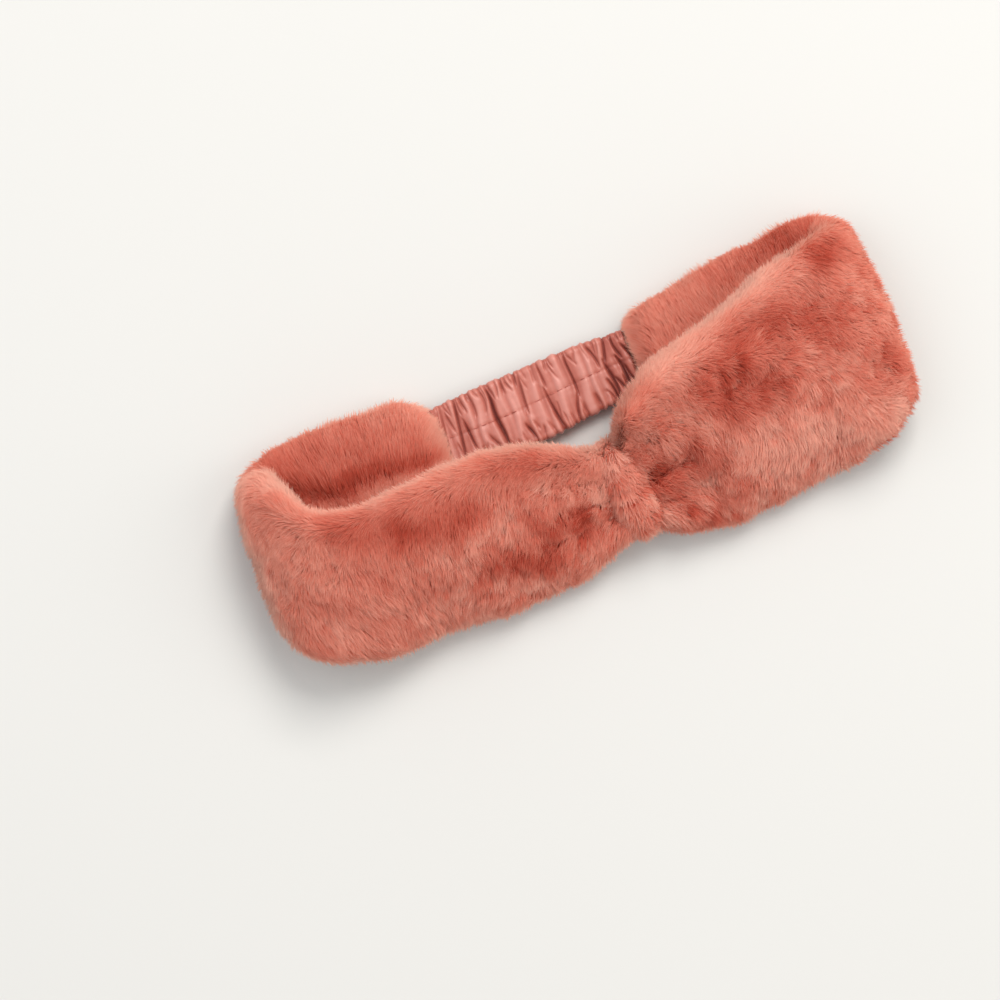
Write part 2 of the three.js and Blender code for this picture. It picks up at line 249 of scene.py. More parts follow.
# The ground lies inside the tips, deeper along the rolled edges, and shallower at both ends.
out = facing_out(tips)
out = np.where((out * way).sum(-1, keepdims=True) < 0.3, way, out)  # where the band turns sharply
rim = np.exp(-(((out[..., 2] + 0.05) / 0.5) ** 2))
ground = tips - out * ((GROUND_DEPTH + 0.7 * rim) * (0.5 + 0.5 * drawn_in))[..., None]
tips, ground = tips + PLACE, ground + PLACE
ground[..., 2] = np.maximum(ground[..., 2], LOWEST)


def skin(name, grid, capped=False):
    """A smooth mesh piece over a grid of points in millimetres that is closed around, with a fan of
    faces over both ends if it is capped."""
    long, round_it = grid.shape[:2]
    i, j = np.meshgrid(np.arange(long - 1), np.arange(round_it), indexing="ij")
    a, b = i * round_it + j, i * round_it + (j + 1) % round_it
    quads = np.stack([a, b, b + round_it, a + round_it], -1).reshape(-1, 4).tolist()
    points = grid.reshape(-1, 3)
    if capped:
        points = np.vstack([points, grid[0].mean(0), grid[-1].mean(0)])
        for ring, centre, flip in ((0, len(points) - 2, True), (long - 1, len(points) - 1, False)):
            for j in range(round_it):
                pair = [ring * round_it + j, ring * round_it + (j + 1) % round_it]
                quads.append((pair[::-1] if flip else pair) + [centre])
    mesh = bpy.data.meshes.new(name)
    mesh.from_pydata((points * MM).tolist(), [], quads)
    mesh.polygons.foreach_set("use_smooth", [True] * len(quads))
    piece = bpy.data.objects.new(name, mesh)
    bpy.context.scene.collection.objects.link(piece)
    return piece


def sRGB(code):
    """An sRGB hex colour as a linear one."""
    channels = [int(code[k : k + 2], 16) / 255 for k in (1, 3, 5)]
    return [c / 12.92 if c <= 0.04045 else ((c + 0.055) / 1.055) ** 2.4 for c in channels] + [1]


def node(tree, kind, links=(), stops=(), **settings):
    """Adds a node of a kind, or takes one that is there, sets its properties and input values, links
    (input, output) pairs to it, and gives a colour ramp its (place, hex colour) stops."""
    made = tree.nodes.new("ShaderNode" + kind) if isinstance(kind, str) else kind
    for key, value in settings.items():
        if hasattr(made, key):
            setattr(made, key, value)
        else:
            made.inputs[key.replace("_", " ")].default_value = value
    for target, source in links:
        tree.links.new(source, made.inputs[target])
    if stops:
        marks = made.color_ramp.elements
        marks.remove(marks[1])
        for k, (place, code) in enumerate(stops):
            mark = marks.new(place) if k else marks[0]
            mark.position, mark.color = place, sRGB(code)
    return made


def new_material(name):
    """An empty material, its node tree, and the surface shader that is in it."""
    made = bpy.data.materials.new(name)
    made.use_nodes = True
    return made, made.node_tree, made.node_tree.nodes["Principled BSDF"]


# Matted modacrylic root fibre: dull and a deeper coral than the tips, mottled and uneven where the
# fibres bunch, about every 3 mm.
matted_root, tree, shader = new_material("matted_root_fibre")
where = node(tree, "TexCoord").outputs["Object"]
bunches = node(tree, "TexNoise", [("Vector", where)], Scale=1 / (3.0 * MM), Detail=3.0, Roughness=0.6)
bunches = bunches.outputs["Fac"]
dyes = [(0.3, "#c04a36"), (0.55, "#d2604a"), (0.75, "#dc735d")]
colour = node(tree, "ValToRGB", [("Fac", bunches)], dyes).outputs["Color"]
bump = node(tree, "Bump", [("Height", bunches)], Strength=0.7, Distance=1.2 * MM).outputs["Normal"]
node(tree, shader, [("Base Color", colour), ("Normal", bump)], Roughness=0.95, Specular_IOR_Level=0.1)

band_ground = skin("band_ground", ground, capped=True)
band_ground.data.materials.append(matted_root)
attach(band_ground, "root")
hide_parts("fur_band")

# --- The band's pile ------------------------------------------------------------------------------
# Crimped modacrylic staple, about 8 mm long, knitted into the ground and brushed one way: down the
# outer face, round under the low edge and up the inner face. It fans away from the pinch, lies
# smooth on the rolled edges, and is ruffled into small locks on the front.

PILE_LONG = 7.8
PILE_RISE = 4.3  # from the ground to the tips as they lie
STRANDS = 415000  # real pile has many more, so each one stands for a wisp of them
STRAND_WIDE = 0.32
LOCKS_APART = 2.3
LIES_ABOVE = 0.15  # no fibre's middle is nearer the table than this
SHORT_STEPS = 4  # a strand is laid in so many to its bend, and as many to its tip

# The rolled edges are painted paler: a painted glow of light on their fibres.
PAINTED_RIM_GLOW, END_PALE = 0.4, 7  # how much paler the rolled edges are, and how far in from each end
SPILLED = 48  # degrees that the pile lies over at each end, toward the casing

# How many degrees the pile is swept along the top edge, and how much of that sweep is felt, each at
# so many degrees over the crest.
SWEPT = [(-40, 30), (0, 72), (45, 95), (90, 112), (140, 90), (180, 40)]
ON_RIM = [(-30, 0), (0, 0.75), (20, 1), (120, 1), (175, 0)]

# Patches of darker or paler pile, seen from above: painted shade in the creases and hollows, where the
# pile is also parted so that its deeper roots show, and painted light on paler stretches, where it is also
# brushed up so that its pale tips
# show: face, from, to, width and how much darker (below 0) or paler.
BRUSHED_AND_PAINTED_LIGHT = [
    ("outer", (-92, 9), (-70, 3), 6, -0.24),
    ("outer", (-68, 0), (-46, -1), 7, -0.28),
    ("outer", (-30, 9), (4, 0), 4, -0.06),
    ("outer", (-24, 6), (-12, 2), 4, -0.15),
    ("outer", (-46, -24), (-19, -30), 6, -0.32),
    ("outer", (-22, -18), (-8, -22), 6, -0.32),
    ("outer", (-2, -20), (-3, -29), 4, -0.15),
    ("outer", (52, 8), (66, 10), 7, -0.2),
    ("outer", (58, 4), (76, -6), 8, -0.32),
    ("outer", (66, 20), (98, 16), 8, -0.22),
    ("outer", (88, 12), (112, -4), 7, -0.03),
    ("outer", (104, -6), (116, -14), 6, -0.06),
    ("outer", (22, -20), (42, -14), 6, -0.2),
    ("outer", (22, -27), (36, -27), 5, -0.2),
    ("outer", (98, 41), (110, 38), 8, -0.5),
    ("inner", (98, 41), (110, 39), 9, -0.3),
    ("outer", (-112, 14), (-106, -6), 8, 0.08),
    ("outer", (-96, 12), (-46, 13), 4, 0.08),
    ("outer", (35, 15), (98, 34), 5, 0.22),
    ("outer", (29, -4), (44, -8), 7, 0.12),
    ("outer", (-58, -14), (-36, -13), 7, 0.08),
    ("outer", (66, -24), (112, -34), 11, 0.3),
    ("outer", (-108, -22), (-60, -32), 12, 0.05),
    ("inner", (-104, 24), (-86, 16), 5, -0.3),
    ("inner", (-112, 36), (-60, 22), 9, -0.14),
    ("inner", (-84, 20), (-52, 14), 3.5, -0.28),
    ("inner", (48, 34), (100, 38), 9, 0.03),
    ("inner", (74, 39), (79, 37), 5, -0.15),
]


def on(grid, i, j):
    """The grid's value at fractional places along and around."""
    i = np.clip(i, 0, grid.shape[0] - 1.0001)
    j = j % grid.shape[1]
    a, b = i.astype(int), j.astype(int)
    u, v = i - a, j - b
    if grid.ndim > 2:
        u, v = u[:, None], v[:, None]
    c, d = np.minimum(a + 1, grid.shape[0] - 1), (b + 1) % grid.shape[1]
    return (grid[a, b] * (1 - u) + grid[c, b] * u) * (1 - v) + (grid[a, d] * (1 - u) + grid[c, d] * u) * v


def rooted(weight, count, rng):
    """Fractional places of so many roots, thicker on the grid where the weight is more."""
    share = (weight / weight.sum()).ravel()
    cell = rng.choice(len(share), count, p=share)
    i, j = np.divmod(cell, weight.shape[1])
    return i + rng.random(count), j + rng.random(count)


def area_of(grid):
    """The area of the cell that starts at each point of a grid."""
    along = np.roll(grid, -1, 0) - grid
    around = np.roll(grid, -1, 1) - grid
    area = np.linalg.norm(np.cross(along, around), axis=-1)
    area[-1] = 0
    return area


def over_top(out, outward, across):
    """How far each place lies over the crest of the top edge, in degrees: below 0 toward the outer
    face, above 0 toward the inner one."""
    turned = np.arctan2((out * across[:, None]).sum(-1), (out * outward[:, None]).sum(-1))
    crest = np.arctan2(across[:, 2], outward[:, 2])[:, None]
    return np.degrees((turned - crest + math.pi) % (2 * math.pi) - math.pi)


def grow(base, facing, weight, lean, ruffled, brushing_and_painted_light, count, seed, long, rise):
    """Strands on a grid, gathered into locks. Gives their root, bend and tip, the way out at each, their
    roll, tone and width, and how far along the grid each one is. lean is the angle off straight round
    the grid, in radians."""
    rng = np.random.default_rng(seed)
    step_along = np.linalg.norm(np.gradient(base, axis=0), axis=-1) + 1e-6
    step_round = np.linalg.norm(np.roll(base, -1, 1) - np.roll(base, 1, 1), axis=-1) / 2 + 1e-6
    area = area_of(base + facing * rise)
    i, j = rooted(weight * area, count, rng)
    locks = int((area * weight).sum() / LOCKS_APART**2)
    lock_i, lock_j = rooted(area * weight, locks, rng)
    tree = KDTree(locks)
    for k, p in enumerate(on(base, lock_i, lock_j)):
        tree.insert(p, k)
    tree.balance()
    lock = np.array([tree.find(p)[1] for p in on(base, i, j)])

    rough = on(ruffled, i, j)
    lock_turn, lock_rise, lock_tint = (rng.normal(0, 1, locks)[lock] for _ in range(3))
    rim = np.exp(-(((on(facing, i, j)[:, 2] + 0.05) / 0.5) ** 2))
    # How far each strand is drawn into its lock, its angle, its length, how high its tip rises, and
    # how far it runs along the ground. On the rolled edges it stands up more.
    pull = rng.uniform(0.15, 0.6, locks)[lock] * rough * (1 - 0.75 * rim)
    angle = on(lean, i, j) + rough * (0.16 * lock_turn + rng.normal(0, 0.2, count))
    reach = long * (1 + 0.10 * rng.normal(size=count) + 0.06 * rough * lock_rise)
    lift = rise * (0.84 + 0.16 * rough + 0.09 * rng.normal(size=count) + 0.11 * rough * lock_rise)
    lift = np.minimum(lift + rise * rim * rng.uniform(-0.3, 0.7, count), 0.95 * long)
    flat = np.sqrt(np.maximum(reach**2 - lift**2, (0.4 * reach) ** 2)) * (1 - 0.45 * rim)
    # The way to the middle of its lock, in steps of the grid.
    to_i = lock_i[lock] - i
    to_j = (lock_j[lock] - j + base.shape[1] / 2) % base.shape[1] - base.shape[1] / 2

    points, normals = [], []
    run_i, run_j = i.copy(), j.copy()
    # Root, bend and tip: the share of the run to it, and of the rise and the pull that it has.
    for share, up, drawn in ((0, -0.05, 0), (0.42, 0.62, 0.35), (0.58, 1, 1)):
        for _ in range(SHORT_STEPS):  # because the grid's own steps differ
            kept = np.clip(run_i, 0, base.shape[0] - 1.001)
            run_i += np.sin(angle) * flat * share / SHORT_STEPS / on(step_along, kept, run_j)
            run_j += np.cos(angle) * flat * share / SHORT_STEPS / on(step_round, kept, run_j)
        at_i = run_i + to_i * pull * drawn
        at_j = run_j + to_j * pull * drawn
        kept = np.clip(at_i, 0, base.shape[0] - 1.001)
        n = unit(on(facing, kept, at_j))
        # A strand that reaches past the last ring of the grid runs straight on.
        past = (at_i - kept) * on(step_along, kept, at_j)
        last = np.where(at_i < 0, 0, base.shape[0] - 2).astype(float)
        ahead = unit(on(base, last + 1, at_j) - on(base, last, at_j))
        points.append(on(base, kept, at_j) + n * (lift * up)[:, None] + ahead * past[:, None])
        normals.append(n)
    points, normals = np.stack(points, 1), np.stack(normals, 1)
    points[..., 2] = np.maximum(points[..., 2], LIES_ABOVE)
    wide = STRAND_WIDE * np.maximum(on(weight, i, j), 0.1) ** -0.4  # wider where they are sparse
    # The tone takes in the painted shade and painted light of the grid it is given.
    tone = 0.5 + 0.08 * rough * lock_tint + 0.055 * rng.normal(size=count) + on(brushing_and_painted_light, i, j)
    tone += rough * (0.035 * ripple(points[:, 1], 24, seed) + 0.065 * ripple(points[:, 1], 8, seed + 1))
    roll = rng.normal(0, 0.24, count)
    # A strand that would bridge a sharp turn of the grid is left out.
    sound = np.linalg.norm(points[:, 2] - points[:, 0], axis=1) < 1.4 * long
    return [values[sound] for values in (points, normals, roll, tone, wide, i)]


def strands(name, points, normals, roll, tone, wide):
    """A mesh piece of flat strands, two faces each: narrow at the root, widest at the bend, and
    tapering to the tip. Light soaks into real fibre and comes out all round it, mostly from above,
    so each strand is turned and shaded part way between the pile's surface and straight up."""
    count = len(points)
    way = unit(points[:, 2] - points[:, 0])
    glow = np.array([0.12, 0.1, 0.55]) * (1 + np.minimum(normals[:, 1, 2:] + 0.3, 0))
    upright = np.abs((way * normals[:, 1]).sum(1, keepdims=True))
    soft = unit(normals[:, 1] * (0.6 - 0.5 * upright) + glow)
    flat = unit(np.cross(way, soft))
    up = np.cross(flat, way)
    side = flat * np.cos(roll)[:, None] + up * np.sin(roll)[:, None]
    half = side * wide[:, None] / 2
    verts = np.stack([points[:, 0], points[:, 1] - half, points[:, 1] + half, points[:, 2]], 1)
    lit = unit(normals[:, [0, 1, 1, 2]] * 0.7 + glow[:, None] + np.cross(side, way)[:, None] * 0.12)
    mesh = bpy.data.meshes.new(name)
    mesh.vertices.add(4 * count)
    mesh.vertices.foreach_set("co", (verts * MM).astype(np.float32).ravel())
    mesh.loops.add(6 * count)
    corners = 4 * np.arange(count)[:, None] + np.array([0, 2, 1, 1, 2, 3])
    mesh.loops.foreach_set("vertex_index", corners.astype(np.int32).ravel())
    mesh.polygons.add(2 * count)
    mesh.polygons.foreach_set("loop_start", np.arange(0, 6 * count, 3, dtype=np.int32))
    mesh.polygons.foreach_set("use_smooth", np.ones(2 * count, bool))
    mesh.update(calc_edges=True)
    shading = mesh.attributes.new("custom_normal", "FLOAT_VECTOR", "POINT")
    shading.data.foreach_set("vector", lit.astype(np.float32).ravel())
    dye = mesh.attributes.new("tone", "FLOAT", "POINT")
    # Darker at the root and paler at the tip: partly dye, partly painted shade and painted light.
    tones = np.clip(tone[:, None] + np.array([-0.05, 0, 0, 0.24]), 0, 1)
    dye.data.foreach_set("value", tones.astype(np.float32).ravel())
    piece = bpy.data.objects.new(name, mesh)
    bpy.context.scene.collection.objects.link(piece)
    return piece


# Dyed modacrylic fibre, finely crimped: soft and slightly silky, with a pale glow where it is seen
# edge on. Each fibre goes from a deep red root to a paler coral tip, partly its dye and partly painted
# shade deep in the pile and painted light on the tips, and locks differ a little.
fur_fibre, tree, shader = new_material("coral_modacrylic_pile")
tone = node(tree, "Attribute", attribute_name="tone").outputs["Fac"]
dyes = [(0.0, "#b03e2c"), (0.25, "#d4614b"), (0.5, "#e88c76"), (0.75, "#f4b09b"), (1.0, "#fbcab7")]
colour = node(tree, "ValToRGB", [("Fac", tone)], dyes).outputs["Color"]
node(tree, shader, [("Base Color", colour)], Roughness=0.6, Specular_IOR_Level=0.15,
     Sheen_Weight=0.3, Sheen_Roughness=0.45, Sheen_Tint=sRGB("#ffb79c"))
through = node(tree, "BsdfTranslucent", [("Color", colour)]).outputs["BSDF"]
both = node(tree, "MixShader", [(1, shader.outputs["BSDF"]), (2, through)], Fac=0.5).outputs["Shader"]
node(tree, tree.nodes["Material Output"], [("Surface", both)])

# The patches paint shade into creases and hollows and light onto paler stretches of the pile.
brushing_and_painted_light = np.zeros(tips.shape[:2])
for face, start, end, wide, paler in BRUSHED_AND_PAINTED_LIGHT:
    brushing_and_painted_light += paler * near_line(smooth_tips, start, end, wide) * smooth(2 * shows[face])
# The rolled edges are painted paler all round, a painted glow of light where their fibres catch it, but
# not in the far right corner, and less beside the pinch and at the right end, where the pile is drawn
# tight.
corner = (smooth((row - 16.2) / 0.8) * smooth((19 - row) / 0.8))[:, None]
by_pinch = np.exp(-(((row - PINCH_ROW - 1) / 0.9) ** 2))[:, None]
brushing_and_painted_light += PAINTED_RIM_GLOW * smooth((0.8 - out[..., 2]) / 0.7) * (1 - corner) * (1 - 0.9 * by_pinch)
brushing_and_painted_light += (np.where(row < PINCH_ROW, 0.25, 0.04) * smooth(1 - to_end / END_PALE))[:, None]

# The front is ruffled, most of all where it is pinched, and least round the left fold.
from_rim = smooth(faces / 4) * (faces < FACE_STEPS + ROLL_STEPS)
ruffled = 0.3 + 0.7 * np.outer(is_front, from_rim)
ruffled *= 1 + 0.6 * np.exp(-(((row - 12.5) / 1.3) ** 2))[:, None]
ruffled *= 1 - 0.45 * (is_front * smooth((9.5 - row) / 2))[:, None]
lean = np.radians(course(places)[4])[:, None] + np.zeros(tips.shape[:2])
lean += ruffled * (0.26 * ripple(tips, 13, 11) + 0.12 * ripple(tips, 5, 12))

# Along the front's top edge the pile is swept sideways, away from the pinch: more and more of it on
# the crest, and a little down the far side.
over = over_top(out, outward, across)
front = smooth((row - 4) / 2) * smooth((18 - row) / 2)
away = np.tanh((row - PINCH_ROW) / 0.6) * front
turn = np.radians(np.interp(over, *zip(*SWEPT)))
on_rim = np.interp(over, *zip(*ON_RIM)) * front[:, None]
lean += on_rim * (turn * away[:, None] + 0.3 * ripple(tips, 9, 13) - lean)
# At both ends it spills over the casing.
spill = smooth(1.2 - to_end / END_ROUND)[:, None]
toward_end = np.where(stops < stops.mean(), -1, 1)[:, None]
lean += spill * (np.radians(SPILLED) * toward_end - lean)

# Pile that presses on the table or the layer below can be sparse, and the crest needs more.
raised = smooth((tips[..., 2] - 5) / 8)
seen = 0.1 + 0.25 * raised + (0.9 - 0.25 * raised) * smooth((out[..., 2] + 0.7) / 0.5)
seen = np.maximum(seen, np.maximum(np.roll(seen, -3, 1), np.roll(seen, -6, 1)))
seen *= 1 + 0.5 * on_rim
seen *= 1 + 1.5 * spill
pile = grow(ground, out, seen, lean, ruffled, brushing_and_painted_light, STRANDS, 21, PILE_LONG, PILE_RISE)
from_left = np.argsort(pile[-1], kind="stable")
STRETCHES = ["back_left", "left_fold", "front_left", "front_right", "right_fold", "back_right"]
for name, part in zip(STRETCHES, np.array_split(from_left, len(STRETCHES))):
    stretch = strands("pile_" + name, *(values[part] for values in pile[:-1]))
    stretch.data.materials.append(fur_fibre)
    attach(stretch, "root")
    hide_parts("fur_band")

# --- The centre wrap ------------------------------------------------------------------------------
# A narrow strip of the same fur goes once round the band, draws it in to the pinch, and is closed
# by hand at the back. Its pile is brushed down the front.

WRAP_WIDE, WRAP_THICK = 14, 5.2
WRAP_STEPS = 14
WRAP_DEPTH = 2.6  # from its tips in to its ground
WRAP_LONG, WRAP_RISE = 7.0, 3.4
WRAP_STRANDS = 13000

# How the wrap's pile is turned aside over its top, as for the band.
WRAP_SWEPT = [(10, 0), (35, 30), (60, 75), (90, 95), (140, 90), (180, 0)]
WRAP_ON_RIM = [(10, 0), (40, 1), (120, 1), (175, 0)]

pinch = np.array([PINCH_ROW / (len(LOOP) - 1)])
wrap_middle, wrap_way, wrap_radius, wrap_outward, wrap_across = outline(pinch)
aside = np.linspace(-1, 1, WRAP_STEPS)  # from the strip's left edge to its right one
swell = np.sqrt(np.maximum(1 - np.abs(aside) ** 3, 0))
wrap_full = wrap_radius[0] + WRAP_THICK * (0.1 + 0.95 * swell)
wrap_tips = wrap_middle + wrap_way * wrap_full[:, None, None]
wrap_tips[..., 0] += (WRAP_WIDE / 2 * aside)[:, None]
wrap_out = facing_out(wrap_tips)
wrap_ground = wrap_tips - wrap_out * WRAP_DEPTH
wrap_tips, wrap_ground = wrap_tips + PLACE, wrap_ground + PLACE
wrap_ground[..., 2] = np.maximum(wrap_ground[..., 2], LOWEST)

centre_ground = skin("centre_wrap_ground", wrap_ground)
centre_ground.data.materials.append(matted_root)
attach(centre_ground, "root")
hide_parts("centre_wrap")

wrap_lean = 0.2 * ripple(wrap_tips, 9, 41) + np.radians(10 + 60 * aside * np.abs(aside))[:, None]
wrap_over = over_top(wrap_out, wrap_outward, wrap_across)
wrap_turn = np.radians(np.interp(wrap_over, *zip(*WRAP_SWEPT))) * np.tanh(3 * aside + 0.6)[:, None]
wrap_lean += np.interp(wrap_over, *zip(*WRAP_ON_RIM)) * (wrap_turn - wrap_lean)
wrap_seen = 0.15 + 0.85 * smooth((wrap_out[..., 2] + 0.7) / 0.5)
wrap_seen = np.maximum(wrap_seen, np.maximum(np.roll(wrap_seen, -3, 1), np.roll(wrap_seen, -6, 1)))
# The wrap is painted a little paler all over, and more on its rolled edges: a painted glow of light there,
# as on the band.
wrap_painted_light = 0.05 + 0.3 * smooth((0.7 - wrap_out[..., 2]) / 0.8) * (np.abs(aside) < 0.8)[:, None]
wrap_ruffled = np.full_like(wrap_lean, 1.5)
grown = grow(wrap_ground, wrap_out, wrap_seen, wrap_lean, wrap_ruffled, wrap_painted_light,
             WRAP_STRANDS, 42, WRAP_LONG, WRAP_RISE)
wrap_pile = strands("centre_wrap_pile", *grown[:-1])
wrap_pile.data.materials.append(fur_fibre)
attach(wrap_pile, "root")
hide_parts("centre_wrap")

# --- The elastic casing ---------------------------------------------------------------------------
# A tube of polyester sateen with a wide elastic drawn through it. The cloth is cut a good third longer
# than the elastic is at rest, so it gathers into sharp creases with smooth puffs between them.

# Seen from above: how far along, its back edge and its front edge.
CASING_EDGES = [
    (-55, 35.5, 11), (-44, 37.4, 10), (-10, 38.2, 8.3), (15, 38.1, 10.3), (38, 36.4, 11.5), (50, 34.5, 12),
]
CASING_Z, CASING_THICK = 6.4, 4.6
CASING_STEPS, CASING_ACROSS, CASING_ROLL = 440, 40, 6
PUFF_HIGH = 1.75  # from the bottom of a deep crease to the top of a puff
SEAM_DEEP = 0.14  # how much of that the row of stitches draws it down
half = CASING_THICK / 2

# The gathers' creases seen from above: x and y of both ends, and how deep.
GATHERS = [
    (-46.5, 31.4, -47.5, 19.4, 0.5), (-45.6, 36.9, -47.4, 13.2, 1.0), (-42.5, 36.0, -45.0, 14.6, 0.8),
    (-40.5, 35.8, -39.1, 22.8, 0.6), (-40.3, 22.6, -39.6, 12.6, 0.6), (-36.1, 37.4, -39.5, 12.9, 1.0),
    (-35.9, 30.4, -33.4, 12.8, 1.0), (-30.7, 37.8, -29.8, 27.8, 0.5), (-29.7, 17.4, -30.4, 13.2, 0.4),
    (-27.1, 18.7, -25.9, 11.7, 0.6), (-25.5, 37.0, -26.1, 27.6, 0.5), (-24.0, 17.7, -22.5, 11.6, 0.5),
    (-23.7, 35.6, -21.9, 11.3, 1.2), (-20.9, 35.7, -21.3, 29.7, 0.5), (-14.7, 37.3, -13.8, 31.3, 0.5),
    (-13.2, 17.3, -11.8, 9.8, 0.9), (-11.0, 18.4, -8.4, 13.2, 0.5), (-9.5, 36.4, -10.6, 21.0, 0.8),
    (-5.0, 37.3, -4.4, 31.5, 0.5), (-1.8, 18.0, -0.2, 8.0, 0.7), (-1.6, 27.5, -1.5, 10.6, 1.0),
    (-1.1, 37.7, -1.6, 27.5, 0.8), (0.3, 20.5, -1.4, 11.6, 0.5), (3.1, 36.9, 4.3, 29.2, 0.5),
    (8.6, 37.7, 10.1, 32.3, 0.5), (9.6, 22.1, 6.1, 9.8, 1.0), (10.3, 36.9, 8.9, 19.7, 1.1),
    (10.5, 16.2, 10.0, 10.2, 0.5), (14.9, 17.5, 16.8, 9.0, 0.7), (18.3, 37.0, 20.5, 26.8, 0.8),
    (19.2, 17.0, 23.1, 8.4, 0.8), (23.4, 28.7, 24.2, 9.4, 1.0), (23.6, 22.7, 28.6, 12.3, 1.0),
    (25.4, 37.5, 23.3, 26.7, 0.8), (26.4, 21.9, 29.4, 14.4, 0.6), (28.9, 36.7, 29.2, 26.9, 0.8),
    (34.8, 35.9, 34.3, 25.1, 0.8), (27.5, 28.0, 31.2, 12.0, 1.1), (21.0, 21.0, 24.6, 8.6, 1.1),
    (31.0, 33.0, 35.0, 20.0, 1.0), (36.6, 31.0, 39.0, 15.0, 1.0), (33.0, 26.0, 36.5, 12.5, 1.1),
    (38.0, 34.0, 41.0, 18.0, 1.2), (33.5, 36.5, 37.5, 26.5, 1.0), (29.5, 24.0, 33.6, 10.8, 0.9),
]

# Between them, small gathers run in from both edges, a few millimetres apart.
rng = np.random.default_rng(61)
for edge_y, inward in ((37.8, -1), (9.5, 1)):
    along = -50.0
    while along < 44:
        along += rng.uniform(1.6, 3.6)
        inner_y = edge_y + inward * rng.uniform(3, 8)
        GATHERS.append((along, edge_y, along + rng.normal(0, 1.2), inner_y, rng.uniform(0.3, 0.6)))


def gather_height(x, y, gathers):
    """How high the gathered cloth puffs up from its creases, from about 0 to 1, at each place."""
    height = np.full(x.shape, 1.0)
    for ax, ay, bx, by, deep in gathers:
        long = np.array([bx - ax, by - ay])
        k = np.clip(((x - ax) * long[0] + (y - ay) * long[1]) / (long @ long), 0, 1)
        bend = 0.45 * np.sin(3 * k + ax)
        off = np.hypot(x - ax - k * long[0] - bend, y - ay - k * long[1])
        fades = 1 if ay < 36 and by > 12 else 0.6  # less if the crease reaches an edge
        tighter = 1 + 0.4 * smooth((ax - 20) / 10)  # deeper at the right end
        full = deep * tighter * smooth(1.2 - np.abs(2 * k - 1) * fades)
        sharp, soft = np.exp(-((off / 0.45) ** 2)), np.exp(-off / 1.8)
        height = np.minimum(height, 1 - full * (0.45 * sharp + 0.55 * soft))
    slant = x - 0.1 * (y - 24)
    pleats = np.sin(slant * 1.35 + 1.1 * np.sin(slant * 0.31 + 0.08 * y))
    pleats = pleats + 0.5 * np.sin(slant * 2.3 + 0.15 * y)
    return height - 0.13 * (1 + pleats)


def casing_reach(puff):
    """How far the cloth lies out from the middle of the casing, for its height in the puffs."""
    return 0.75 * half + PUFF_HIGH * (puff - 0.55)


casing_x = np.linspace(-51.5, 44.5, CASING_STEPS + 1)
edge = spline(CASING_EDGES, np.linspace(0, 1, 400))
top_y, low_y = (np.interp(casing_x, edge[:, 0], edge[:, k]) for k in (1, 2))

# Round the casing: across the top face, over the front edge, back across the underside, and over
# the back edge. Each has its share of the way to the back edge, and its way out in y and z.
flat_run = np.linspace(1, 0, CASING_ACROSS + 1)
over_edge = np.linspace(0, math.pi, CASING_ROLL + 1)[1:-1]
section = [(a, 0, 1) for a in flat_run] + [(0, -math.sin(t), math.cos(t)) for t in over_edge]
section += [(a, 0, -1) for a in flat_run[::-1]] + [(1, math.sin(t), -math.cos(t)) for t in over_edge]

# The underside has the same gathers, turned round and moved a little.
under_gathers = [(-bx - 4, by + 3, -ax - 4, ay - 3, deep) for ax, ay, bx, by, deep in GATHERS]
stitch_y = 24.2 + 0.9 * np.sin(casing_x / 15)
stitched_in = np.exp(-(((casing_x + 2) / 45) ** 8))
rings, fold_shade_values = [], []
for a, out_y, out_z in section:
    y = low_y + half + (top_y - low_y - 2 * half) * a
    over, below = gather_height(casing_x, y, GATHERS), gather_height(casing_x, y, under_gathers)
    puff = (over * (1 + out_z) + below * (1 - out_z)) / 2
    puff = puff - SEAM_DEEP * np.exp(-(((y - stitch_y) / 0.5) ** 2)) * abs(out_z) * stitched_in
    reach = casing_reach(puff)
    rings.append(np.stack([casing_x, y + out_y * reach, CASING_Z + out_z * reach], -1))
    # Painted shade: darker in the creases, and toward the right end, where the fur shades the cloth.
    fold_shade_values.append(1 - puff + 0.16 * smooth((casing_x - 18) / 16))
casing_grid = np.stack(rings, 1)
casing_grid[..., 0] += 0.25 * ripple(casing_grid, 8, 51)
casing_grid = casing_grid + PLACE

casing = skin("elastic_casing_cloth", casing_grid)
painted_fold_shade = casing.data.attributes.new("painted_fold_shade", "FLOAT", "POINT")
painted_fold_shade.data.foreach_set("value", np.stack(fold_shade_values, 1).astype(np.float32).ravel())

# Dusty pink polyester sateen: floats of bright filament give long soft highlights along the puffs. The
# deep folds are
# painted darker and redder, as cloth that sees only itself looks, and so is the right end, where the fur
# shades it:
# painted shade. Its threads lie 0.15 mm apart, too fine to show, so the weave is drawn as a slight ripple
# along the cloth, 2.8 mm from crest to crest. At scale 1 a wave's straight bands are 2 pi / 20 apart.
SATEEN_RIPPLE = 0.45 * 2 * math.pi

